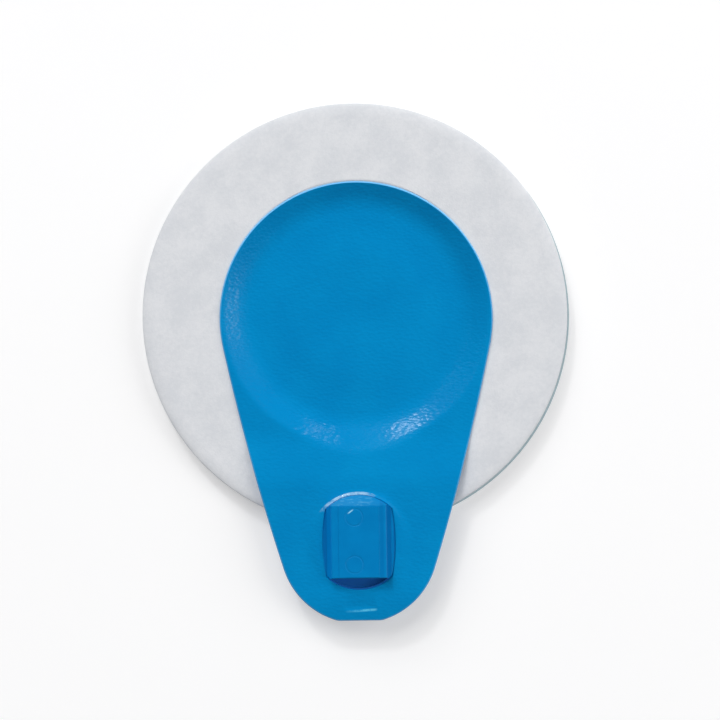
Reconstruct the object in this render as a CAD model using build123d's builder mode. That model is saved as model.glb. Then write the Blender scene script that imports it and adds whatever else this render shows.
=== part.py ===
"""Disposable ECG electrode: a foam disc with a formed cover film, gel pad and an offset plug socket.

Millimetres. The origin is on the underside, under the middle of the gel pad, with +Z up and
the socket's tab running out towards -Y.
"""
import os
from math import atan2, hypot, radians, sqrt, tan

from build123d import *

# Foam disc and the clear liner that covers its adhesive
foam_radius = 27.4
foam_thickness = 2.3
foam_roll_width = 1.8
foam_roll_drop = 0.3
foam_shift_x = -0.15
foam_shift_y = -0.45
liner_thickness = 0.12
liner_slip_x = 0.35
liner_slip_y = -0.2

# Gel pad, sensor and the conductor that leads to the socket
sponge_radius = 7.5
sponge_clearance = 0.3
sensor_radius = 5.0
sensor_thickness = 0.15
strip_width = 2.6
strip_thickness = 0.1
strip_clearance = 0.15

# Cover film: round head, tapering tab, flat tab end
film_thickness = 0.35
head_radius = 17.6
head_shift = 0.7
tab_reach = 29.2
tab_end_radius = 10.2
tab_flat_reach = 9.8
tab_corner_radius = 2.0
side_radius = 300.0

# Dish pressed into the head, with a low ridge over the rim of the gel pad
dish_rim_radius = 17.3
dish_depth = 1.5
dish_wall_angle = 26.0
dish_fillet = 5.5
ridge_height = 0.15
trough_width = 1.1

# Ramp that lifts the tab clear of the foam, its drooping end, and the film that closes it underneath
ramp_lead = 1.3
ramp_round = 15.0
ramp_straight = 0.2
ramp_margin = 1.2
tab_lift = 0.9
tab_droop = 0.35
backing_thickness = 0.2
backing_inset = 0.2
backing_setback = 0.6

# Collar in the film over the socket's flange, and the dent in front of the socket's mouth
connector_setback = 0.4
collar_radius = 6.6
collar_angle = 20.0
flange_thickness = 0.4
flange_margin = 0.3
opening_margin = 0.5
opening_clearance = 0.1
dent_gap = 0.1
dent_width = 2.7
dent_depth = 0.12

# Socket: a bowed plinth in the opening, a low bridge with a rounded nose, and a recess at its mouth
plinth_width = 9.2
plinth_bow = 22.0
plinth_drop = 0.1
bridge_width = 8.3
bridge_draft = 30.0
bridge_reach = 4.65
shoulder_radius = 0.25
land_width = 5.2
land_step = 0.05
roof_thickness = 0.38
roof_round = 0.12
nose_angle = 15.0
recess_ledge = 0.1
cup_depth = 1.1
cup_wall = 0.4
cup_clearance = 0.1
pin_mark_radius = 1.2
pin_mark_width = 0.18
pin_mark_depth = 0.03
pin_mark_x = -0.6
pin_mark_y = (3.2, -2.9)

# Slot under the bridge for the lead's flat tongue, and the bowed contact spring on its floor
tongue_thickness = 0.5
tongue_clearance = 0.08
tongue_headroom = 0.05
slot_width = 5.6
end_wall = 0.9
slot_round = 0.2
mouth_chamfer = 0.12
spring_side = 0.6
spring_thickness = 0.1
spring_bow = 0.2
spring_lead = 0.6
spring_gap = 0.2
foot_width = 1.6
foot_length = 1.2
foot_clearance = 0.1

# Levels and places worked out from the sizes above
foam_top = liner_thickness + foam_thickness
rim_top = foam_top + film_thickness
tab_under = foam_top + tab_lift
tab_top = rim_top + tab_lift
head_y = -head_shift
connector_y = head_y - tab_reach + connector_setback
ramp_foot = -(dish_rim_radius - ramp_lead)
ramp_head = connector_y + collar_radius + ramp_margin
ramp_length = hypot(ramp_foot - ramp_head, tab_lift)
ramp_turn = atan2(tab_lift, ramp_foot - ramp_head)
ramp_bend = min(ramp_round, (ramp_length - ramp_straight) / 2 / tan(ramp_turn / 2))
backing_start = (ramp_foot + ramp_head) / 2 - backing_setback
collar_slope = tan(radians(collar_angle))
opening_radius = collar_radius - opening_margin
flange_radius = collar_radius - flange_margin
cap_radius = collar_radius - flange_thickness / collar_slope
slot_height = spring_bow + tongue_thickness + tongue_clearance
slot_length = 2 * bridge_reach - end_wall
spring_width = slot_width - 2 * spring_side
slot_floor = tab_top + opening_margin * collar_slope + tongue_headroom
roof_z = slot_floor + slot_height + roof_thickness
shoulder_z = roof_z - land_step
plinth_top = tab_top + flange_thickness - plinth_drop
mouth_y = connector_y - bridge_reach
nose_y = connector_y + bridge_reach
nose_end = connector_y + opening_radius - opening_clearance
spring_end = mouth_y + slot_length - spring_gap
foot_y = spring_end - foot_length / 2
droop_start = connector_y - collar_radius
tab_end = head_y - tab_reach - tab_flat_reach
reach = 2 * (foam_radius + tab_reach)
floor_z = -foam_thickness

foam_plane = Plane((foam_shift_x, foam_shift_y, 0), x_dir=(1, 0, 0), z_dir=(0, -1, 0))
foam_axis = Axis((foam_shift_x, foam_shift_y, 0), (0, 0, 1))
connector_plane = Plane((0, connector_y, 0), x_dir=(1, 0, 0), z_dir=(0, -1, 0))
mouth_plane = Plane((0, mouth_y, slot_floor + slot_height / 2), x_dir=(1, 0, 0), z_dir=(0, -1, 0))
connector_axis = Axis((0, connector_y, 0), (0, 0, 1))


def cover_outline(inset):
    """Outline of the cover film, moved inwards by inset: head, bowed sides, tab end with a flat."""
    head = head_radius - inset
    end = tab_end_radius - inset
    flat = tab_flat_reach - inset
    head_span = side_radius - head_radius
    end_span = side_radius - tab_end_radius
    centre_y = (end_span**2 - head_span**2 - tab_reach**2) / (2 * tab_reach)
    centre_x = sqrt(head_span**2 - centre_y**2)
    head_tangent = (head * centre_x / head_span, -head * centre_y / head_span)
    end_tangent = (end * centre_x / end_span, -tab_reach - end * (centre_y + tab_reach) / end_span)
    corner = (sqrt(end**2 - flat**2), -tab_reach - flat)
    with BuildSketch(Plane((0, head_y, 0))) as outline:
        with BuildLine():
            crown = TangentArc((0, head), head_tangent, tangent=(1, 0))
            side = TangentArc(head_tangent, end_tangent, tangent=crown % 1)
            TangentArc(end_tangent, corner, tangent=side % 1)
            Line(corner, (0, -tab_reach - flat))
            mirror(about=Plane.YZ)
        make_face()
        fillet(outline.vertices().group_by(Axis.Y)[0], radius=tab_corner_radius)
    return outline.sketch


def below_dish(drop):
    """Everything under the dish's upper face, lowered by drop: low ridge, trough, rounded foot and wall."""
    dish_floor = rim_top - drop - dish_depth
    wall_run = dish_depth / tan(radians(dish_wall_angle))
    wall_foot = (dish_rim_radius - wall_run, dish_floor)
    fillet_run = dish_fillet * tan(radians(dish_wall_angle / 2))
    wall_top = (wall_foot[0] + 2 * wall_run, dish_floor + 2 * dish_depth)
    ridge = (sponge_radius, dish_floor + ridge_height)
    half_ridge = dish_floor + ridge_height / 2
    trough = (wall_foot[0] - fillet_run - trough_width, dish_floor)
    with BuildPart() as under:
        with BuildSketch(Plane.XZ):
            with BuildLine():
                climb = TangentArc((0, dish_floor), (ridge[0] / 2, half_ridge), tangent=(1, 0))
                TangentArc(climb @ 1, ridge, tangent=climb % 1)
                fall = TangentArc(ridge, ((ridge[0] + trough[0]) / 2, half_ridge), tangent=(1, 0))
                TangentArc(fall @ 1, trough, tangent=fall % 1)
                wall = FilletPolyline(trough, wall_foot, wall_top, radius=dish_fillet)
                far_top = (reach, wall_top[1])
                Polyline(wall @ 1, far_top, (reach, floor_z), (0, floor_z), (0, dish_floor))
            make_face()
        revolve(axis=Axis.Z)
    return under.part


def below_cover(drop):
    """Everything under the film's upper face, lowered by drop: the tab's rise and droop cut by the dish."""
    rim = rim_top - drop
    lifted = tab_top - drop
    dish = below_dish(drop)
    with BuildPart() as under:
        with BuildSketch(Plane.YZ):
            with BuildLine():
                rise = FilletPolyline(
                    (reach, rim),
                    (ramp_foot, rim),
                    (ramp_head, lifted),
                    (droop_start, lifted),
                    radius=ramp_bend,
                )
                droop = TangentArc(rise @ 1, (tab_end, lifted - tab_droop), tangent=rise % 1)
                far_end = (-reach, lifted - tab_droop)
                Polyline(droop @ 1, far_end, (-reach, floor_z), (reach, floor_z), rise @ 0)
            make_face()
        extrude(amount=reach, both=True)
        add(dish, mode=Mode.INTERSECT)
    return under.part


def below_collar(base):
    """The low cone that the socket's flange presses up into the film, standing on base."""
    cap = base + flange_thickness
    with BuildPart() as cone:
        with BuildSketch(connector_plane):
            with BuildLine():
                Polyline((0, base), (collar_radius, base), (cap_radius, cap), (0, cap), close=True)
            make_face()
        revolve(axis=connector_axis)
    return cone.part


def socket_plan(margin):
    """Plan of the socket's plinth, grown by margin: a circle cut off by two slightly bowed sides."""
    bow = plinth_bow + margin
    with BuildSketch(Plane((0, connector_y, tab_under))) as plan:
        Circle(opening_radius - opening_clearance + margin)
        for side in (-1, 1):
            with Locations((side * (plinth_bow - plinth_width / 2), 0)):
                Circle(bow, mode=Mode.INTERSECT)
    return plan.sketch


def recess_plan(margin, level):
    """Half-moon of the recess before the socket's mouth, grown by margin, at height level."""
    with BuildSketch(Plane((0, connector_y, level))) as plan:
        Circle(opening_radius - recess_ledge + margin)
        with Locations((0, margin - bridge_reach)):
            Rectangle(2 * reach, 2 * reach, align=(Align.CENTER, Align.MAX), mode=Mode.INTERSECT)
    return plan.sketch


def strip_channel(width, level):
    """The run of the conductor strip: a straight band along the tab's axis, standing above level."""
    with BuildPart() as channel:
        with BuildSketch(Plane.XY.offset(floor_z)):
            with Locations((0, (strip_start + strip_end) / 2)):
                Rectangle(width, strip_start - strip_end)
        extrude(amount=tab_under - floor_z)
        add(level, mode=Mode.SUBTRACT)
    return channel.part


strip_start = sensor_radius / 2
strip_end = foot_y - foot_length

cover_upper = below_cover(0)
cover_under = below_cover(film_thickness)
strip_under = below_cover(film_thickness + strip_thickness)
backing_under = below_cover(film_thickness + backing_thickness)
foam_under = below_dish(film_thickness)
sensor_upper = below_dish(film_thickness + strip_thickness)
sensor_under = below_dish(film_thickness + strip_thickness + sensor_thickness)

# Clear liner under the foam, die-cut to the foam's size and laid a little off its middle
with BuildPart() as release_liner:
    with BuildSketch():
        with Locations((foam_shift_x + liner_slip_x, foam_shift_y + liner_slip_y)):
            Circle(foam_radius)
    extrude(amount=liner_thickness)

# Foam disc with a rolled-off edge, the gel pad's hole and the recess pressed by the cover film
channel_cut = strip_channel(strip_width + 2 * strip_clearance, strip_under)
with BuildPart() as foam_ring:
    with BuildSketch(foam_plane):
        with BuildLine():
            roll_centre = (foam_radius - foam_roll_width, foam_top - foam_roll_drop)
            roll = EllipticalCenterArc(roll_centre, foam_roll_width, foam_roll_drop, arc_size=90)
            Polyline(
                roll @ 1,
                (0, foam_top),
                (0, liner_thickness),
                (foam_radius, liner_thickness),
                roll @ 0,
            )
        make_face()
    revolve(axis=foam_axis)
    with BuildSketch(Plane.XY.offset(liner_thickness)):
        Circle(sponge_radius + sponge_clearance)
    extrude(amount=foam_thickness, mode=Mode.SUBTRACT)
    add(foam_under, mode=Mode.INTERSECT)
    add(channel_cut, mode=Mode.SUBTRACT)

# Gel-filled sponge between the skin side and the sensor
with BuildPart() as gel_sponge:
    with BuildSketch(Plane.XY.offset(liner_thickness)):
        Circle(sponge_radius)
    extrude(amount=foam_thickness)
    add(sensor_under, mode=Mode.INTERSECT)

# Silver chloride faced sensor disc, pressed to the same low ridge as the film above it
with BuildPart() as sensor_disc:
    with BuildSketch(Plane.XY.offset(liner_thickness)):
        Circle(sensor_radius)
    extrude(amount=foam_thickness)
    add(sensor_upper, mode=Mode.INTERSECT)
    add(sensor_under, mode=Mode.SUBTRACT)

# Conductor strip against the film's underside, from the sensor to the socket's contact foot
strip_band = strip_channel(strip_width, strip_under)
with BuildPart() as lead_strip:
    add(strip_band)
    add(cover_under, mode=Mode.INTERSECT)

# Cover film: dished head, ramped tab, collar, opening for the block and dent before its mouth
cover_plan = cover_outline(0)
collar_upper = below_collar(tab_top)
collar_under = below_collar(tab_under)
opening_plan = socket_plan(opening_clearance)
with BuildPart() as cover_label:
    add(cover_plan)
    extrude(amount=tab_top)
    add(cover_upper, mode=Mode.INTERSECT)
    add(cover_under, mode=Mode.SUBTRACT)
    add(collar_upper)
    add(collar_under, mode=Mode.SUBTRACT)
    add(opening_plan)
    extrude(amount=roof_z, mode=Mode.SUBTRACT)
    dent_radius = (dent_width**2 / 4 + dent_depth**2) / (2 * dent_depth)
    dent_y = connector_y - opening_radius - dent_gap - dent_width / 2
    with Locations((0, dent_y, tab_top - dent_depth + dent_radius)):
        Sphere(dent_radius, mode=Mode.SUBTRACT)

# Film under the tab that closes in the strip and the socket's flange
backing_plan = cover_outline(backing_inset)
backing_hole = recess_plan(cup_wall + cup_clearance, 0)
with BuildPart() as tab_backing:
    add(backing_plan)
    extrude(amount=tab_under)
    with BuildSketch(Plane((0, backing_start, 0))):
        Rectangle(reach, reach, align=(Align.CENTER, Align.MIN))
    extrude(amount=tab_under, mode=Mode.SUBTRACT)
    add(cover_under, mode=Mode.INTERSECT)
    add(backing_under, mode=Mode.SUBTRACT)
    add(channel_cut, mode=Mode.SUBTRACT)
    add(backing_hole)
    extrude(amount=tab_under, mode=Mode.SUBTRACT)

# Moulded socket: flange under the film, plinth and bridge through it, slot, recess cup and pin marks
with BuildPart() as flange:
    add(collar_under)
    with BuildSketch(Plane((0, connector_y, tab_under))):
        Circle(flange_radius)
    extrude(amount=flange_thickness, mode=Mode.INTERSECT)

plinth_plan = socket_plan(0)
cup_plan = recess_plan(cup_wall, tab_under - cup_depth)
cup_hollow = recess_plan(0, tab_under - cup_depth + cup_wall)
with BuildPart() as connector_housing:
    with BuildSketch(connector_plane) as section:
        with Locations((0, plinth_top)):
            Trapezoid(
                bridge_width, shoulder_z - plinth_top, 90 - bridge_draft, align=(Align.CENTER, Align.MIN)
            )
        fillet(section.vertices().group_by(Axis.Y)[-1], radius=shoulder_radius)
    extrude(amount=opening_radius, both=True)
    add(plinth_plan)
    extrude(amount=roof_z, mode=Mode.INTERSECT)
    add(plinth_plan)
    extrude(amount=plinth_top - tab_under)
    with BuildSketch(Plane.YZ) as profile:
        with BuildLine():
            nose_fall = (1, -tan(radians(nose_angle)))
            nose = TangentArc((nose_y, shoulder_z), (nose_end, plinth_top), tangent=nose_fall)
            Polyline(
                nose @ 1,
                (nose_end, tab_under),
                (mouth_y, tab_under),
                (mouth_y, shoulder_z),
                nose @ 0,
            )
        make_face()
        fillet(profile.vertices().group_by(Axis.Y)[-1], radius=roof_round)
    extrude(amount=plinth_width, both=True, mode=Mode.INTERSECT)
    with BuildSketch(Plane((0, connector_y, shoulder_z))):
        Rectangle(land_width, 2 * (bridge_reach - roof_round))
    extrude(amount=land_step)
    add(flange.part)
    add(cup_plan)
    extrude(amount=cup_depth)
    add(cup_hollow)
    extrude(amount=cup_depth - cup_wall + flange_thickness, mode=Mode.SUBTRACT)
    with BuildSketch(mouth_plane):
        RectangleRounded(slot_width, slot_height, slot_round)
    extrude(amount=-slot_length, mode=Mode.SUBTRACT)
    with BuildSketch(mouth_plane):
        RectangleRounded(
            slot_width + 2 * mouth_chamfer, slot_height + 2 * mouth_chamfer, slot_round + mouth_chamfer
        )
    extrude(amount=-mouth_chamfer, taper=45, mode=Mode.SUBTRACT)
    with BuildSketch(Plane((0, foot_y, tab_under))):
        Rectangle(foot_width + 2 * foot_clearance, foot_length + 2 * foot_clearance)
    extrude(amount=slot_floor + slot_height / 2 - tab_under, mode=Mode.SUBTRACT)
    with BuildSketch(Plane((0, connector_y, roof_z))):
        for mark_y in pin_mark_y:
            with Locations((pin_mark_x, mark_y)):
                Circle(pin_mark_radius)
                Circle(pin_mark_radius - pin_mark_width, mode=Mode.SUBTRACT)
    extrude(amount=-pin_mark_depth, mode=Mode.SUBTRACT)

# Bowed contact spring on the slot's floor, with a foot that stands on the conductor strip
with BuildPart() as contact_spring:
    with BuildSketch(Plane.YZ):
        bow_start = mouth_y + spring_lead
        bow_end = foot_y - foot_length / 2
        bow_middle = (bow_start + bow_end) / 2
        spring_top = slot_floor + spring_thickness
        with BuildLine():
            ThreePointArc(
                (bow_start, slot_floor),
                (bow_middle, slot_floor + spring_bow - spring_thickness),
                (bow_end, slot_floor),
            )
            Polyline(
                (bow_end, slot_floor),
                (spring_end, slot_floor),
                (spring_end, spring_top),
                (bow_end, spring_top),
            )
            ThreePointArc(
                (bow_end, spring_top),
                (bow_middle, slot_floor + spring_bow),
                (bow_start, spring_top),
            )
            Line((bow_start, spring_top), (bow_start, slot_floor))
        make_face()
    extrude(amount=spring_width / 2, both=True)
    with BuildSketch(Plane((0, foot_y, tab_under))):
        Rectangle(foot_width, foot_length)
    extrude(amount=slot_floor - tab_under)

pieces = {
    "release_liner": release_liner,
    "foam_ring": foam_ring,
    "gel_sponge": gel_sponge,
    "sensor_disc": sensor_disc,
    "lead_strip": lead_strip,
    "cover_label": cover_label,
    "tab_backing": tab_backing,
    "connector_housing": connector_housing,
    "contact_spring": contact_spring,
}

os.makedirs("parts", exist_ok=True)
for name, piece in pieces.items():
    piece.part.label = name
    export_step(piece.part, f"parts/{name}.step")
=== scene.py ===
"""Looks of a disposable ECG electrode: blue formed film on a white foam disc, with a low moulded socket."""

from math import cos, pi, radians, sin, sqrt, tan

import bmesh
import bpy
import numpy as np
from mathutils import Euler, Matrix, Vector
from mathutils.geometry import delaunay_2d_cdt


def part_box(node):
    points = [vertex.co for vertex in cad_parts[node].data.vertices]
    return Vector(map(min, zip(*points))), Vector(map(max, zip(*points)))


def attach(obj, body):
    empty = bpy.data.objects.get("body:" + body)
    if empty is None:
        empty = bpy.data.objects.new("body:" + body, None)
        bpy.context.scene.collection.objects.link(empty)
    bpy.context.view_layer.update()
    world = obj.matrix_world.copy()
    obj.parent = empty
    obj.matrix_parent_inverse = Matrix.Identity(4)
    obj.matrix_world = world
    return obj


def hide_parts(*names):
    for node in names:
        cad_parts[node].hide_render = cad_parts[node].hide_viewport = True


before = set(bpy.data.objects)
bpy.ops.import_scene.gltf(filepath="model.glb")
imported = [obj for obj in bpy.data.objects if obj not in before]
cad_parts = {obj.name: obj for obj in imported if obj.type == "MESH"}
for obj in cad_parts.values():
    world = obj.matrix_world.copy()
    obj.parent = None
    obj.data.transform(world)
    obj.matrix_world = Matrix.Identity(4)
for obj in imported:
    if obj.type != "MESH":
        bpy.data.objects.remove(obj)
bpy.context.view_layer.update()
MM = 0.001

# Sizes of the pieces, in millimetres
FOAM_RADIUS = 27.4
FOAM_SHIFT = (-0.15, -0.45)
FOAM_TOP = 2.42
FOAM_ROLL_WIDTH = 1.8
FOAM_ROLL_DROP = 0.3
FOAM_BOTTOM = 0.14
FOAM_HOLE_RADIUS = 7.8
FOAM_FILM_GAP = 0.12
FOAM_UNEVENNESS = 0.03
PAD_TOP = 0.52
PAD_BOTTOM = 0.03
LINER_CENTRE = (0.2, -0.65)
FILM_THICKNESS = 0.35
FILM_SWELL = 0.008
HEAD_RADIUS = 17.6
HEAD_Y = -0.7
TAB_REACH = 29.2
TAB_END_RADIUS = 10.2
TAB_FLAT_REACH = 9.8
TAB_CORNER_RADIUS = 2.0
SIDE_RADIUS = 300.0
RIM_TOP = FOAM_TOP + FILM_THICKNESS
DISH_RIM_RADIUS = 17.3
DISH_DEPTH = 1.5
DISH_WALL_ANGLE = radians(26.0)
DISH_FILLET = 5.5
DISH_RIM_ROUND = 0.22
RIDGE_RADIUS = 7.5
RIDGE_HEIGHT = 0.15
TROUGH_WIDTH = 1.1
TAB_LIFT = 0.9
TAB_DROOP = 0.35
CONNECTOR_Y = HEAD_Y - TAB_REACH + 0.4
COLLAR_RADIUS = 6.6
COLLAR_SLOPE = tan(radians(20.0))
COLLAR_HEIGHT = 0.4
COLLAR_LIFT = 0.15
COLLAR_LEAN = 0.05
COLLAR_SKIRT_RADIUS = 7.0
COLLAR_SKIRT_WIDTH = 1.7
LIP_RADIUS = 6.4
LIP_WIDTH = 0.32
LIP_SLOPE = tan(radians(25.0))
OPENING_RADIUS = 6.1
OPENING_NOSE_RADIUS = 6.0
OPENING_MOUTH_RADIUS = 6.2
OPENING_BOW = 22.1
OPENING_BOW_X = 17.4
MOUTH_Y = CONNECTOR_Y - 4.65
PIN_MARK_X = -0.6
PIN_MARK_Y = (3.2, -2.9)
NICK_X = -1.05
NICK_Y = 3.93
NICK_TURN = radians(36.0)
DENT_START = CONNECTOR_Y - OPENING_RADIUS - 0.1
DENT_LENGTH = 2.7
DENT_HALF_WIDTH = 2.0
DENT_DEPTH = 0.2
RAMP_FOOT = -(DISH_RIM_RADIUS - 1.3)
RAMP_HEAD = CONNECTOR_Y + COLLAR_RADIUS + 1.2
RAMP_ROUND = 0.2
DROOP_START = CONNECTOR_Y - COLLAR_RADIUS
TAB_END = HEAD_Y - TAB_REACH - TAB_FLAT_REACH
VIEW_PLACE = (0.43, -6.17, 389.2)
VIEW_TURN = radians(-0.75)


class Wire:
    """A node socket that takes part in Python sums, and makes the Math nodes for them."""

    def __init__(self, graph, socket):
        self.graph = graph
        self.socket = socket

    def math(self, operation, *values):
        return self.graph.add("ShaderNodeMath", {"operation": operation}, dict(enumerate(values)))

    def __add__(self, other):
        return self.math("ADD", self, other)

    def __sub__(self, other):
        return self.math("SUBTRACT", self, other)

    def __rsub__(self, other):
        return self.math("SUBTRACT", other, self)

    def __mul__(self, other):
        return self.math("MULTIPLY", self, other)

    __radd__ = __add__
    __rmul__ = __mul__

    def least(self, other):
        return self.math("MINIMUM", self, other)

    def most(self, other):
        return self.math("MAXIMUM", self, other)

    def sine(self):
        return self.math("SINE", self)

    def cosine(self):
        return self.math("COSINE", self)

    def between(self, low, high):
        """0 at low, 1 at high, straight between and held outside."""
        return self.graph.add("ShaderNodeMapRange", {"clamp": True}, {0: self, 1: low, 2: high})

    def over(self, low, high):
        """The same for a length, between two sizes in millimetres."""
        return self.between(low * MM, high * MM)

    def band(self, start, full, fade, end):
        """1 from full to fade and 0 outside start and end, all in millimetres."""
        return self.over(start, full) * (1 - self.over(fade, end))


class Graph:
    """A node tree, and the one way of adding a node to it."""

    def __init__(self, tree):
        self.tree = tree

    def add(self, kind, settings=None, sockets=None, out=0):
        node = self.tree.nodes.new(kind)
        for key, value in (settings or {}).items():
            setattr(node, key, value)
        for key, value in (sockets or {}).items():
            if isinstance(value, Wire):
                self.tree.links.new(value.socket, node.inputs[key])
            else:
                node.inputs[key].default_value = value
        return Wire(self, node.outputs[out]) if node.outputs else node

    def axes(self, vector):
        """The three parts of a vector."""
        parts = self.add("ShaderNodeSeparateXYZ", sockets={0: vector})
        return [Wire(self, socket) for socket in parts.socket.node.outputs]


def srgb(red, green, blue):
    """Linear colour of a picture's 0 to 255 values."""
    linear = [((c / 255 + 0.055) / 1.055) ** 2.4 if c > 10 else c / 255 / 12.92 for c in (red, green, blue)]
    return (*linear, 1.0)


class Finish(Graph):
    """A material with one main shader, whose sockets are set by name."""

    def __init__(self, name, **fixed):
        self.material = bpy.data.materials.new(name)
        self.material.use_nodes = True
        super().__init__(self.material.node_tree)
        self.shader = self.tree.nodes["Principled BSDF"]
        for key, value in fixed.items():
            self.shader.inputs[key.replace("_", " ")].default_value = value
        self.place = self.add("ShaderNodeTexCoord", out=3)

    def noise(self, size, detail=3.0, roughness=0.55, place=None):
        sockets = {"Vector": place or self.place, "Scale": 1 / (size * MM)}
        sockets.update({"Detail": detail, "Roughness": roughness})
        return self.add("ShaderNodeTexNoise", sockets=sockets)

    def cells(self, size, feature="F1", place=None, smooth=None):
        sockets = {"Vector": place or self.place, "Scale": 1 / (size * MM)}
        if smooth is not None:
            sockets["Smoothness"] = smooth
        return self.add("ShaderNodeTexVoronoi", {"feature": feature}, sockets)

    def reach(self, x, y):
        """Distance in plan from a point that is given in millimetres."""
        flat = {0: self.place, 1: (-x * MM, -y * MM, 0.0), 3: (1.0, 1.0, 0.0)}
        centred = self.add("ShaderNodeMapping", sockets=flat)
        return self.add("ShaderNodeVectorMath", {"operation": "LENGTH"}, {0: centred}, out=1)

    def blend(self, factor, first, second):
        settings = {"data_type": "RGBA", "clamp_factor": True}
        return self.add("ShaderNodeMix", settings, {0: factor, 6: first, 7: second}, out=2)

    def feed(self, name, value):
        self.tree.links.new(value.socket, self.shader.inputs[name])

    def bump(self, height, strength, depth, normal=None):
        sockets = {"Strength": strength, "Distance": depth * MM, "Height": height}
        if normal:
            sockets["Normal"] = normal
        self.feed("Normal", self.add("ShaderNodeBump", sockets=sockets))


def blue_film(name, deep, light):
    """Satin blue film with a fine leather-like grain: its finish, its colour and the grain's coarse part."""
    film = Finish(name, Specular_IOR_Level=0.16, Coat_Roughness=0.12)
    drift = film.noise(6.0, 2.0)
    colour = film.blend(drift.between(0.3, 0.7), deep, light)
    warp = film.noise(0.7, 2.0)
    drawn = film.add("ShaderNodeMapping", sockets={0: film.place, 3: (0.6, 1.1, 1.0)})
    grain = film.cells(0.36, "SMOOTH_F1", drawn, 0.5) + warp * 0.6
    film.feed("Roughness", 0.15 + drift * 0.06)
    film.bump(grain, 0.7, 0.04)
    return film, colour, warp


def backing_blue(name):
    """The plain film that closes the tab's underside."""
    film, colour, _ = blue_film(name, srgb(1, 126, 190), srgb(2, 132, 196))
    film.feed("Base Color", colour)
    return film.material


def cover_blue(name):
    """The formed cover film: painted highlights on the socket's lip and at the dent's far end, and a paler
    cut edge whose painted highlight grows towards the head.
    """
    film, colour, warp = blue_film(name, srgb(0, 135, 198), srgb(1, 141, 203))
    across, along, _ = film.axes(film.place)
    # Painted highlight: a pale, broken band on the lip's head side, strongest towards -x, stands in for the
    # lamps' glint; the gloss coat goes on there too.
    near = 1 - film.reach(0.0, CONNECTOR_Y).over(LIP_RADIUS - 0.06, LIP_RADIUS + 0.04)
    north_lip = near * along.over(CONNECTOR_Y + 3.8, CONNECTOR_Y + 4.8)
    lip_highlight = north_lip * (1 - across.over(0.6, 2.2)) * warp.between(0.25, 0.5)
    colour = film.blend(lip_highlight * 0.75, colour, srgb(176, 212, 238))
    # Painted highlight: a pale, broken line across the tab at the dent's far end stands in for a glint.
    dent_end = DENT_START - DENT_LENGTH
    leaning = along - across * 0.06
    dent_end_glint = leaning.band(dent_end - 0.2, dent_end - 0.05, dent_end + 0.05, dent_end + 0.2)
    dent_end_glint = dent_end_glint * across.band(-2.0, 0.6, 1.9, 2.3) * warp.between(0.3, 0.5)
    colour = film.blend(dent_end_glint * 0.8, colour, srgb(96, 202, 236))
    # Paler cut edge, partly painted highlight: the mask made in cover_film is strongest towards the head,
    # where the light falls.
    cut_edge_and_highlight = film.add("ShaderNodeAttribute", {"attribute_name": "cut_edge_and_highlight"}, out=2)
    film.feed("Base Color", film.blend(cut_edge_and_highlight, colour, srgb(120, 200, 250)))
    film.feed("Coat Weight", north_lip * warp.between(0.3, 0.55))
    return film.material


def white_foam(name):
    """Matte closed-cell foam: fine cells, and a faint mottle."""
    foam = Finish(name, Specular_IOR_Level=0.25)
    mottle = foam.noise(3.5, 4.0)
    fibres = foam.noise(0.5, 3.0, 0.7)
    cloud = (mottle * 0.6 + fibres * 0.4).between(0.4, 0.6)
    foam.feed("Base Color", foam.blend(cloud, srgb(220, 223, 227), srgb(230, 232, 235)))
    cells = foam.cells(0.22) + foam.noise(0.12, 2.0) * 0.6
    foam.feed("Roughness", 0.8 + mottle * 0.1)
    foam.bump(cells, 0.25, 0.03)
    return foam.material


def wet_sponge(name):
    """Open-cell sponge soaked with clear gel: round pores between pale walls, under a wet shine."""
    sponge = Finish(name, Specular_IOR_Level=0.5, Coat_Roughness=0.15)
    pores = sponge.cells(0.55, "SMOOTH_F1", smooth=0.3).between(0.15, 0.6)
    sponge.feed("Base Color", sponge.blend(pores, srgb(150, 172, 178), srgb(226, 232, 230)))
    sponge.feed("Roughness", 0.3 + pores * 0.25)
    sponge.feed("Coat Weight", 0.7 - pores * 0.3)
    sponge.bump(pores, 0.5, 0.08)
    return sponge.material


def clear_liner(name):
    """Clear release film whose cut edge gathers a teal tint."""
    liner = Finish(name, IOR=1.5)
    upright = liner.axes(liner.add("ShaderNodeNewGeometry", out=1))[2]
    edge = 1 - upright.math("ABSOLUTE", upright).between(0.0, 0.6)
    haze = liner.noise(4.0, 3.0)
    edge = edge.most(liner.reach(*LINER_CENTRE).over(26.8, 27.3))
    liner.feed("Base Color", liner.blend(edge, srgb(230, 240, 242), srgb(186, 212, 219)))
    liner.feed("Roughness", 0.12 + haze * 0.12)
    liner.feed("Alpha", (edge * 0.5 + 0.14 + haze * 0.06).least(1.0))
    return liner.material


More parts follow.
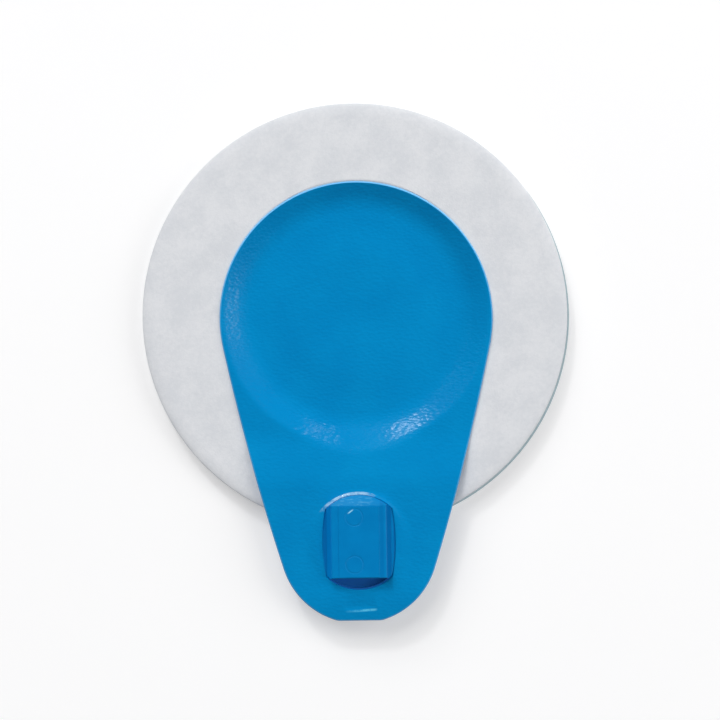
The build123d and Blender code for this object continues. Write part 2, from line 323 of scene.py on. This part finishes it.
def moulded_blue(name):
    """Semi-gloss moulded plastic with faint flow, scuffs, two pin marks and a nick. Painted shade in the
    recess, on the ledges, on the walls facing +x and along the roof's step; painted light on the walls facing
    -x and on the pin-mark rings; painted glints on the nose and at the nick.
    """
    block = Finish(name, Specular_IOR_Level=0.15)
    flow = block.noise(2.5, 3.0)
    scuffs = block.noise(0.25, 4.0, 0.7)
    colour = block.blend(flow.between(0.3, 0.7), srgb(0, 126, 192), srgb(1, 133, 199))
    across, along, level = block.axes(block.place)
    sideways, _, upward = block.axes(block.add("ShaderNodeNewGeometry", out=1))
    # Painted shade in the recess in front of the mouth: a purplish blue tint, darker towards its far rim.
    recess = (1 - along.over(MOUTH_Y - 0.15, MOUTH_Y - 0.05)) * (1 - level.over(3.7, 3.9))
    recess = recess * upward.between(-0.6, -0.3)
    depth = 1 - along.over(MOUTH_Y - 1.4, MOUTH_Y - 0.2)
    recess_shade = block.blend(depth, srgb(38, 128, 216), srgb(33, 112, 192))
    colour = block.blend(recess, colour, recess_shade)
    # Painted shade on the plinth's ledges beside the side walls.
    ledge_shade = level.band(3.94, 3.96, 3.98, 4.1)
    ledge_shade = ledge_shade * (1 - across.over(-4.2, -4.0)).most(across.over(4.4, 4.5))
    colour = block.blend(ledge_shade * 0.6, colour, srgb(0, 96, 168))
    # Painted shade on the walls that face +x and painted light on those that face -x.
    colour = block.blend(sideways.between(0.25, 0.6) * 0.6, colour, srgb(0, 96, 166))
    colour = block.blend((0 - sideways).between(0.25, 0.6) * 0.6, colour, srgb(0, 132, 214))
    # Painted shade: a darker band along x = 2.6 to 3.3 mm, which on the roof falls on the step of its +x
    # shoulder.
    step_shade = across.band(2.6, 2.85, 3.05, 3.3)
    colour = block.blend(step_shade * 0.35, colour, srgb(0, 100, 170))
    # Painted highlight: pale streaks on the nose at the head end stand in for glints.
    stretched = block.add("ShaderNodeMapping", sockets={0: block.place, 3: (0.3, 1.0, 1.0)})
    nose_glints = block.noise(0.3, 3.0, 0.6, stretched).between(0.5, 0.66)
    nose = along.over(CONNECTOR_Y + 4.6, CONNECTOR_Y + 4.75) * (1 - across.over(-0.5, 3.0))
    colour = block.blend(nose * (0.06 + nose_glints * 0.34), colour, srgb(120, 200, 232))
    on_roof = level.over(4.9, 4.95)
    # Pin-mark rings painted lighter, as painted light that lifts the shade in their shallow grooves.
    for mark_y in PIN_MARK_Y:
        reach = block.reach(PIN_MARK_X, CONNECTOR_Y + mark_y)
        ring = reach.band(0.98, 1.05, 1.17, 1.24) * on_roof
        colour = block.blend(ring * 0.4, colour, srgb(20, 140, 204))
    # Painted glint: a pale dash on the roof stands in for the light caught by a small nick.
    turned = Euler((0, 0, -NICK_TURN))
    back = -(turned.to_matrix() @ Vector((NICK_X, CONNECTOR_Y + NICK_Y, 0))) * MM
    run, width, _ = block.axes(block.add("ShaderNodeMapping", sockets={0: block.place, 1: back, 2: turned}))
    nick_glint = run.band(-0.5, -0.2, 0.2, 0.5) * width.band(-0.11, -0.03, 0.03, 0.11)
    colour = block.blend(nick_glint * on_roof, colour, srgb(150, 218, 246))
    block.feed("Base Color", colour)
    block.feed("Roughness", 0.24 + scuffs * 0.14)
    rounded = block.add("ShaderNodeBevel", {"samples": 6}, {"Radius": 0.04 * MM})
    block.bump(scuffs, 0.2, 0.012, rounded)
    return block.material


def dull_metal(name, dark, pale, grain):
    """Thin metal: drawn grain along the tab and a soft tarnish."""
    metal = Finish(name, Metallic=1.0)
    mapping = metal.add("ShaderNodeMapping", sockets={0: metal.place, 3: (1.0, 0.08, 1.0)})
    drawn = metal.noise(grain, 4.0, 0.6, mapping)
    tarnish = metal.noise(1.6, 3.0)
    metal.feed("Base Color", metal.blend(tarnish.between(0.3, 0.7), dark, pale))
    metal.feed("Roughness", 0.32 + drawn * 0.2)
    metal.bump(drawn, 0.2, 0.01)
    return metal.material


def table_white(name):
    """Matte white floor that reads as white paper and keeps the shadow."""
    floor = Finish(name, Roughness=1.0, Specular_IOR_Level=0.0)
    mottle = floor.noise(40.0, 2.0)
    floor.feed("Base Color", floor.blend(mottle, (0.71, 0.71, 0.71, 1), (0.73, 0.73, 0.73, 1)))
    light_path = floor.add("ShaderNodeLightPath")
    seen = light_path
    for other in ("Is Glossy Ray", "Is Transmission Ray"):
        seen = seen.most(Wire(floor, light_path.socket.node.outputs[other]))
    glow = floor.add("ShaderNodeEmission", sockets={"Color": (1, 1, 1, 1), "Strength": 0.33})
    matte = Wire(floor, floor.shader.outputs[0])
    both = floor.add("ShaderNodeAddShader", sockets={0: matte, 1: glow})
    mixed = floor.add("ShaderNodeMixShader", sockets={0: seen, 1: matte, 2: both})
    floor.tree.links.new(mixed.socket, floor.tree.nodes["Material Output"].inputs["Surface"])
    return floor.material


def make_piece(name, points, faces, material, sharp=35.0):
    """A mesh object from points in millimetres, shaded smooth up to the sharp angle."""
    mesh = bpy.data.meshes.new(name)
    mesh.from_pydata((np.asarray(points) * MM).tolist(), [], [list(map(int, face)) for face in faces])
    mesh.validate()
    mesh.polygons.foreach_set("use_smooth", [True] * len(mesh.polygons))
    mesh.set_sharp_from_angle(angle=radians(sharp))
    mesh.materials.append(material)
    piece = bpy.data.objects.new(name, mesh)
    bpy.context.scene.collection.objects.link(piece)
    return piece


def dress(piece, slot, *nodes):
    """Lets a piece ride on the part and stand for its CAD nodes."""
    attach(piece, "root")
    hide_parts(*nodes)
    return piece


def arc(centre, radius, start, end, count):
    """Points on a circle from one angle towards another, without the last."""
    angles = np.linspace(start, end, count, endpoint=False)
    return np.column_stack((centre[0] + radius * np.cos(angles), centre[1] + radius * np.sin(angles)))


def film_outline(inset):
    """Closed outline of the film, moved inwards: head, bowed sides and a flat tab end with soft corners."""
    span_head = SIDE_RADIUS - HEAD_RADIUS
    span_end = SIDE_RADIUS - TAB_END_RADIUS
    side_y = (span_end**2 - span_head**2 - TAB_REACH**2) / (2 * TAB_REACH)
    side_x = sqrt(span_head**2 - side_y**2)
    head_angle = np.arctan2(-side_y, side_x)
    end_angle = np.arctan2(-side_y - TAB_REACH, side_x)
    corner_y = -TAB_FLAT_REACH + TAB_CORNER_RADIUS
    corner_x = sqrt((TAB_END_RADIUS - TAB_CORNER_RADIUS) ** 2 - corner_y**2)
    corner_angle = np.arctan2(corner_y, corner_x)
    end = np.array((0, -TAB_REACH))
    corner = TAB_CORNER_RADIUS - inset
    right = np.vstack((
        arc((0, 0), HEAD_RADIUS - inset, pi / 2, head_angle, 150),
        arc((-side_x, side_y), SIDE_RADIUS - inset, head_angle, end_angle, 90),
        arc(end, TAB_END_RADIUS - inset, end_angle, corner_angle, 70),
        arc(end + (corner_x, corner_y), corner, corner_angle, -pi / 2, 14),
        np.column_stack((np.linspace(corner_x, 0, 14), np.full(14, -TAB_REACH - TAB_FLAT_REACH + inset))),
    ))
    left = right[-2:0:-1] * (-1, 1)
    return np.vstack((right, left)) + (0, HEAD_Y)


def socket_opening(grow):
    """Closed outline of the opening round the socket: two circle ends and two bowed sides."""
    bow = OPENING_BOW + grow
    corners = []
    for ring in (OPENING_NOSE_RADIUS + grow, OPENING_MOUTH_RADIUS + grow):
        corner_x = (bow**2 - ring**2 - OPENING_BOW_X**2) / (2 * OPENING_BOW_X)
        corner_y = sqrt(ring**2 - corner_x**2)
        corners.append((ring, np.arctan2(corner_y, corner_x), np.arctan2(corner_y, corner_x + OPENING_BOW_X)))
    (nose, nose_angle, nose_bow), (mouth, mouth_angle, mouth_bow) = corners
    loop = np.vstack((
        arc((-OPENING_BOW_X, 0), bow, -mouth_bow, nose_bow, 44),
        arc((0, 0), nose, nose_angle, pi - nose_angle, 52),
        arc((OPENING_BOW_X, 0), bow, pi - nose_bow, pi + mouth_bow, 44),
        arc((0, 0), mouth, pi + mouth_angle, 2 * pi - mouth_angle, 52),
    ))
    return loop + (0, CONNECTOR_Y)


def in_opening(points, grow):
    """Which points lie inside the opening round the socket."""
    x, y = np.abs(points[:, 0]), points[:, 1] - CONNECTOR_Y
    ring = np.where(y > 0, OPENING_NOSE_RADIUS, OPENING_MOUTH_RADIUS) + grow
    return (np.hypot(x, y) < ring) & (np.hypot(x + OPENING_BOW_X, y) < OPENING_BOW + grow)


def soft_least(first, second, width):
    """The lower of two heights, rounded over where they cross."""
    share = np.clip(0.5 + 0.5 * (second - first) / width, 0, 1)
    return second * (1 - share) + first * share - width * share * (1 - share)


def dish_profile(radius):
    """Height of the dish over its floor: low ridge, trough, rounded foot and straight wall."""
    foot = DISH_RIM_RADIUS - DISH_DEPTH / tan(DISH_WALL_ANGLE)
    bend = foot - DISH_FILLET * tan(DISH_WALL_ANGLE / 2)
    trough = bend - TROUGH_WIDTH
    climb = np.clip(radius / RIDGE_RADIUS, 0, 1)
    fall = np.clip((trough - radius) / (trough - RIDGE_RADIUS), 0, 1)
    ridge = np.minimum(climb, fall)
    ridge = RIDGE_HEIGHT * ridge * ridge * (3 - 2 * ridge)
    run = np.clip(radius - bend, 0, DISH_FILLET * sin(DISH_WALL_ANGLE))
    curve = DISH_FILLET - np.sqrt(DISH_FILLET**2 - run**2)
    wall = np.clip(radius - bend - DISH_FILLET * sin(DISH_WALL_ANGLE), 0, None) * tan(DISH_WALL_ANGLE)
    return ridge + curve + wall


def film_height(points):
    """Height of the film's upper face without its collar: ramped, drooping tab, dish, dent, faint swell."""
    x, y = points[:, 0], points[:, 1]
    rise = (RAMP_FOOT - y) / (RAMP_FOOT - RAMP_HEAD)
    rise = soft_least(-soft_least(-rise, np.zeros_like(rise), RAMP_ROUND), np.ones_like(rise), RAMP_ROUND)
    droop = np.clip((DROOP_START - y) / (DROOP_START - TAB_END), 0, 1)
    tab = RIM_TOP + TAB_LIFT * rise - TAB_DROOP * droop**2
    dish = RIM_TOP - DISH_DEPTH + dish_profile(np.hypot(x, y))
    height = soft_least(tab, dish, DISH_RIM_ROUND)
    along = np.clip((DENT_START - y) / DENT_LENGTH, 0, 1)
    dent = DENT_DEPTH * along * (1 - along**8) * np.clip(1 - (x / DENT_HALF_WIDTH) ** 4, 0, None)
    swell = np.sin(x * 0.9 + 0.4 * y) * np.sin(y * 0.7 - 0.3 * x) + np.sin(x * 0.37 - y * 0.53 + 1.0)
    return height - dent + FILM_SWELL * swell


def collar_heights(points):
    """How far the socket's flange lifts the film's upper face, lipped towards the head, and its lower."""
    x, y = points[:, 0], points[:, 1] - CONNECTOR_Y
    reach = np.hypot(x, y)
    lower = np.clip((COLLAR_RADIUS - reach) * COLLAR_SLOPE, 0, COLLAR_HEIGHT)
    slope = np.clip((COLLAR_SKIRT_RADIUS - reach) / COLLAR_SKIRT_WIDTH, 0, 1)
    north = y / reach
    lip = np.clip(LIP_RADIUS - reach, 0, LIP_WIDTH) * LIP_SLOPE * np.clip(north * 1.6 - 0.5, 0, 1)
    return (COLLAR_LIFT + COLLAR_LEAN * north) * slope * slope * (3 - 2 * slope) + lip, lower


def cover_film(material):
    """The formed film as one closed skin: upper face, rounded rims, lower face, and the mask of its paler cut
    edge, with a painted highlight that grows towards the head.
    """
    outer_rim, inner_rim = 0.2, 0.08
    pitch = 0.25
    steps = np.radians((22.5, 45.0, 67.5, 90.0))
    outer_loops = [film_outline(outer_rim + step) for step in (0.0, 0.12, 0.24, 0.36, 0.5)]
    inner_loops = [socket_opening(inner_rim + step) for step in (0.0, 0.1, 0.2, 0.3, 0.4, 0.52)]
    low, high = outer_loops[0].min(0), outer_loops[0].max(0)
    rows = np.arange(low[1], high[1], pitch * sqrt(3) / 2)
    columns = np.arange(low[0], high[0], pitch)
    x, y = np.meshgrid(columns, rows)
    x[1::2] += pitch / 2
    lattice = np.column_stack((x.ravel(), y.ravel()))
    inside = clear_of(lattice, outer_loops[-1], True, pitch * 0.55)
    lattice = lattice[inside & clear_of(lattice, inner_loops[-1], False, pitch * 0.55)]
    points = np.vstack((*outer_loops, *inner_loops, lattice))
    n_outer, n_inner = len(outer_loops[0]), len(inner_loops[0])
    first_inner = n_outer * len(outer_loops)
    edges = [(i, (i + 1) % n_outer) for i in range(n_outer)]
    edges += [(first_inner + i, first_inner + (i + 1) % n_inner) for i in range(n_inner)]
    flat, _, triangles, *_ = delaunay_2d_cdt([Vector(p) for p in points], edges, [], 2, 1e-6)
    flat = np.array([tuple(p) for p in flat])
    assert len(flat) == len(points)
    triangles = np.array(triangles)
    triangles = triangles[~in_opening(flat[triangles].mean(axis=1), inner_rim + 0.01)]
    count = len(flat)
    height = film_height(flat)
    lifted, filled = collar_heights(flat)
    upper = np.column_stack((flat, height + lifted))
    lower = np.column_stack((flat, height + filled - FILM_THICKNESS))
    stack = [upper, lower]
    cut_edge_and_highlight = [np.zeros(2 * count)]
    faces = list(triangles) + list(triangles[:, ::-1] + count)
    start = 2 * count
    sides = (film_outline, outer_rim, 0, n_outer), (socket_opening, inner_rim, first_inner, n_inner)
    for loop_at, rim, first, size in sides:
        inside = loop_at is socket_opening
        lifted, filled = collar_heights(loop_at(rim))
        top_height = film_height(loop_at(rim)) + lifted
        thinning = 1 + (lifted - filled) / FILM_THICKNESS
        previous = np.arange(first, first + size)
        rings = [(rim * (1 - sin(step)), rim * (1 - cos(step))) for step in steps]
        for inset, drop in rings + [(0.0, FILM_THICKNESS)]:
            loop = loop_at(inset)
            stack.append(np.column_stack((loop, top_height - drop * thinning)))
            # Painted highlight on the outer cut edge: the mask is 0.3 on the tab and rises to 1 over the
            # head's far half, where the light falls; none at the opening.
            cut_edge_and_highlight.append(np.zeros(size) if inside else np.clip((loop[:, 1] + 8) / 18, 0.3, 1.0))
            current = np.arange(start, start + size)
            faces += strip(previous, current, True)
            previous = current
            start += size
        faces += strip(previous, np.arange(first, first + size) + count, True)
    piece = make_piece("cover_film", np.vstack(stack), faces, material)
    mask = piece.data.attributes.new("cut_edge_and_highlight", "FLOAT", "POINT")
    mask.data.foreach_set("value", np.concatenate(cut_edge_and_highlight))
    return piece


def strip(first, second, flip):
    """Quads between two closed loops of the same length."""
    a, b = np.roll(first, -1), np.roll(second, -1)
    quads = np.column_stack((first, a, b, second)) if flip else np.column_stack((a, first, second, b))
    return list(quads)


def clear_of(points, loop, inside, gap):
    """Which points lie on the asked side of a closed loop, and further than gap from it."""
    following = np.roll(loop, -1, axis=0)
    result = np.zeros(len(points), bool)
    for part in np.array_split(np.arange(len(points)), max(1, len(points) // 2000)):
        x, y = points[part, 0:1], points[part, 1:2]
        crosses = (loop[:, 1] > y) != (following[:, 1] > y)
        step = following - loop
        with np.errstate(divide="ignore", invalid="ignore"):
            at = loop[:, 0] + (y - loop[:, 1]) * step[:, 0] / step[:, 1]
        within = ((crosses & (x < at)).sum(1) % 2).astype(bool)
        nearest = np.hypot(loop[:, 0] - x, loop[:, 1] - y).min(1)
        result[part] = (within == inside) & (nearest > gap)
    return result


def foam_tree():
    """Geometry nodes for the foam disc: a sheet wrapped round the axis by the rule of its section."""
    tree = bpy.data.node_groups.new("foam_disc_section", "GeometryNodeTree")
    sizes = {
        "Radius": FOAM_RADIUS, "Hole": FOAM_HOLE_RADIUS, "Top": FOAM_TOP, "Bottom": FOAM_BOTTOM,
        "Roll width": FOAM_ROLL_WIDTH, "Roll drop": FOAM_ROLL_DROP,
        "Recess": DISH_RIM_RADIUS, "Recess depth": DISH_DEPTH, "Recess slope": tan(DISH_WALL_ANGLE),
        "Film gap": FOAM_FILM_GAP, "Film edge": HEAD_RADIUS, "Film shift": HEAD_Y,
        "Unevenness": FOAM_UNEVENNESS, "Shift X": FOAM_SHIFT[0], "Shift Y": FOAM_SHIFT[1],
    }
    identifiers = {}
    for name in sizes:
        socket = tree.interface.new_socket(name, in_out="INPUT", socket_type="NodeSocketFloat")
        identifiers[name] = socket.identifier
    finish = tree.interface.new_socket("Finish", in_out="INPUT", socket_type="NodeSocketMaterial")
    tree.interface.new_socket("Mesh", in_out="OUTPUT", socket_type="NodeSocketGeometry")
    graph = Graph(tree)
    given = tree.nodes.new("NodeGroupInput")
    size = {name: Wire(graph, given.outputs[name]) for name in sizes}
    sheet = graph.add("GeometryNodeMeshGrid", sockets={0: 1.0, 1: 1.0, 2: 190, 3: 421})
    sheet_x, sheet_y, _ = graph.axes(graph.add("GeometryNodeInputPosition"))
    along = sheet_x + 0.5
    turn = (sheet_y + 0.5) * (2 * pi)
    wall = along.between(0.0, 0.03)
    across = along.between(0.03, 0.7)
    roll = along.between(0.7, 0.86) * (pi / 2)
    side = along.between(0.86, 0.9)
    back = along.between(0.9, 1.0)
    flat_reach = size["Radius"] - size["Roll width"] - size["Hole"]
    outward = size["Hole"] + flat_reach * across + size["Roll width"] * roll.sine()
    recess = (size["Recess"] - outward) * size["Recess slope"]
    past_film = outward - size["Film edge"] - size["Film shift"] * turn.sine()
    recess = recess.most(0.0).least(size["Recess depth"]) * (1 - past_film.between(0.0, 0.12))
    hidden = (size["Recess"] - outward).between(0.8, 2.0) * size["Film gap"]
    top = size["Top"] - recess - hidden - size["Roll drop"] * (1 - roll.cosine())
    height = size["Bottom"] + (top - size["Bottom"]) * wall
    straight = size["Top"] - size["Roll drop"] - size["Bottom"]
    height = height - straight * side
    radius = outward - (size["Radius"] - size["Hole"]) * back
    slid = (radius - size["Recess"]).between(1.0, 6.0)
    across_x = turn.cosine() * radius + size["Shift X"] * slid
    across_y = turn.sine() * radius + size["Shift Y"] * slid
    around = graph.add("ShaderNodeCombineXYZ", sockets={0: across_x, 1: across_y, 2: height})
    wave = graph.add("ShaderNodeTexNoise", sockets={"Vector": around, "Scale": 0.22, "Detail": 3.0})
    shown = (outward - size["Recess"]).between(0.0, 1.0) * (1 - side)
    lift = (wave - 0.5) * size["Unevenness"] * shown
    offset = graph.add("ShaderNodeCombineXYZ", sockets={2: lift})
    wrapped = graph.add("GeometryNodeSetPosition", sockets={0: sheet, 2: around, 3: offset})
    scaled = graph.add("GeometryNodeTransform", sockets={0: wrapped, "Scale": (MM, MM, MM)})
    closed = graph.add("GeometryNodeMergeByDistance", sockets={0: scaled, "Distance": 2e-6})
    smooth = graph.add("GeometryNodeSetShadeSmooth", sockets={0: closed})
    real = graph.add("GeometryNodeRealizeInstances", sockets={0: smooth})
    faced = graph.add("GeometryNodeSetMaterial", sockets={0: real, 2: Wire(graph, given.outputs["Finish"])})
    graph.add("NodeGroupOutput", sockets={0: faced})
    settings = {identifiers[name]: value for name, value in sizes.items()}
    return tree, settings, finish.identifier


def foam_disc(material):
    """The foam disc, worked out by its node tree and turned into a plain mesh."""
    tree, settings, finish = foam_tree()
    blank = bpy.data.objects.new("foam_blank", bpy.data.meshes.new("foam_blank"))
    bpy.context.scene.collection.objects.link(blank)
    modifier = blank.modifiers.new("section", "NODES")
    modifier.node_group = tree
    for identifier, value in settings.items():
        modifier[identifier] = value
    modifier[finish] = material
    bpy.context.view_layer.update()
    mesh = bpy.data.meshes.new_from_object(blank.evaluated_get(bpy.context.evaluated_depsgraph_get()))
    blank.modifiers.clear()
    bpy.data.objects.remove(blank)
    shell = bmesh.new()
    shell.from_mesh(mesh)
    bmesh.ops.recalc_face_normals(shell, faces=shell.faces)
    shell.to_mesh(mesh)
    shell.free()
    mesh.name = "foam_disc"
    mesh.set_sharp_from_angle(angle=radians(40))
    piece = bpy.data.objects.new("foam_disc", mesh)
    bpy.context.scene.collection.objects.link(piece)
    return piece


def gel_pad(material):
    """The gel sponge: a round pad, a little crowned underneath and uneven all over."""
    low, high = (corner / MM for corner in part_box("gel_sponge"))
    rings, spokes = 46, 150
    reach = np.sin(np.linspace(0, pi / 2, rings)[1:]) * high.x
    angles = np.linspace(0, 2 * pi, spokes, endpoint=False)
    radius, angle = np.meshgrid(reach, angles, indexing="ij")
    x, y = (radius * np.cos(angle)).ravel(), (radius * np.sin(angle)).ravel()
    share = radius.ravel() / high.x
    pits = 0.02 * np.sin(x * 5.3 + 2 * np.sin(y * 3.1)) * np.sin(y * 4.9 + 2 * np.sin(x * 2.7))
    top, bottom = low.z + PAD_TOP, low.z + PAD_BOTTOM
    upper = top + RIDGE_HEIGHT * share**2 * (3 - 2 * share) - 0.06 * np.clip(share - 0.93, 0, None) / 0.07
    lower = bottom + pits + 0.08 * np.clip(share - 0.9, 0, None) / 0.1
    points = np.vstack((
        np.column_stack((x, y, upper)), [(0, 0, top)],
        np.column_stack((x, y, lower)), [(0, 0, bottom)],
    ))
    size = len(x) + 1
    faces = []
    for layer, flip in ((0, False), (size, True)):
        hub = layer + size - 1
        first = np.arange(layer, layer + spokes)
        spokes_next = np.roll(first, -1)
        fan = np.column_stack((np.full(spokes, hub), first, spokes_next))
        faces += list(fan[:, ::-1] if flip else fan)
        for ring in range(rings - 2):
            inner = np.arange(layer + ring * spokes, layer + (ring + 1) * spokes)
            faces += strip(inner, inner + spokes, flip)
    rim = np.arange((rings - 2) * spokes, (rings - 1) * spokes)
    faces += strip(rim, rim + size, False)
    return make_piece("gel_pad", points, faces, material, 60.0)


def lamp(name, azimuth, elevation, size, level, mirrored, shadow=True):
    """A light of some width and height that gives a share of full brightness, seen in gloss or not."""
    distance = 1.6
    turn, tilt = radians(azimuth), radians(elevation)
    aim = Vector((0, -0.006, 0.002))
    away = Vector((sin(turn) * cos(tilt), cos(turn) * cos(tilt), sin(tilt)))
    light = bpy.data.lights.new(name, "AREA")
    light.shape = "RECTANGLE"
    light.size, light.size_y = size
    light.use_shadow = shadow
    light.energy = level * pi**2 * distance**2 / sin(tilt)
    holder = bpy.data.objects.new(name, light)
    holder.location = aim + away * distance
    holder.rotation_euler = away.to_track_quat("Z", "Y").to_euler()
    holder.visible_glossy = mirrored
    bpy.context.scene.collection.objects.link(holder)


dress(cover_film(cover_blue("satin_blue_film")), "film", "cover_label")
dress(foam_disc(white_foam("white_foam")), "foam", "foam_ring")
dress(gel_pad(wet_sponge("wet_sponge")), "sponge", "gel_sponge")

node_finishes = {
    "release_liner": clear_liner("clear_liner"),
    "tab_backing": backing_blue("blue_backing"),
    "connector_housing": moulded_blue("moulded_blue"),
    "contact_spring": dull_metal("tinned_brass", srgb(178, 170, 156), srgb(206, 198, 184), 0.1),
    "sensor_disc": dull_metal("silver_chloride", srgb(126, 122, 120), srgb(166, 163, 160), 0.2),
    "lead_strip": dull_metal("silver_ink", srgb(176, 176, 178), srgb(202, 202, 204), 0.15),
}
for node, finish in node_finishes.items():
    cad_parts[node].data.materials.clear()
    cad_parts[node].data.materials.append(finish)

floor_points = [(-900, -900, -0.02), (900, -900, -0.02), (900, 900, -0.02), (-900, 900, -0.02)]
make_piece("table_top", floor_points, [(0, 1, 2, 3)], table_white("table_white"))

world = bpy.data.worlds.new("soft_room")
world.use_nodes = True
world.node_tree.nodes["Background"].inputs["Color"].default_value = (0.94, 0.93, 1.0, 1)
world.node_tree.nodes["Background"].inputs["Strength"].default_value = 0.12
bpy.context.scene.world = world
lamp("key_soft", 330, 39, (1.3, 1.3), 0.46, False)
lamp("side_soft", 84, 36, (1.6, 1.6), 0.17, False)
lamp("side_fill", 84, 30, (1.3, 1.3), 0.15, False, False)
lamp("left_glint", 337, 37, (0.15, 0.15), 0.1, True)
lamp("right_glint", 17, 40, (0.1, 0.08), 0.017, True)
lamp("side_glint", 91, 36, (0.6, 0.08), 0.045, True, False)

camera = bpy.data.cameras.new("top_view")
camera.lens = 150
camera.sensor_width = 36
viewer = bpy.data.objects.new("top_view", camera)
viewer.location = Vector(VIEW_PLACE) * MM
viewer.rotation_euler = Euler((0, 0, VIEW_TURN))
bpy.context.scene.collection.objects.link(viewer)
bpy.context.scene.camera = viewer
bpy.context.scene.view_settings.view_transform = "Standard"
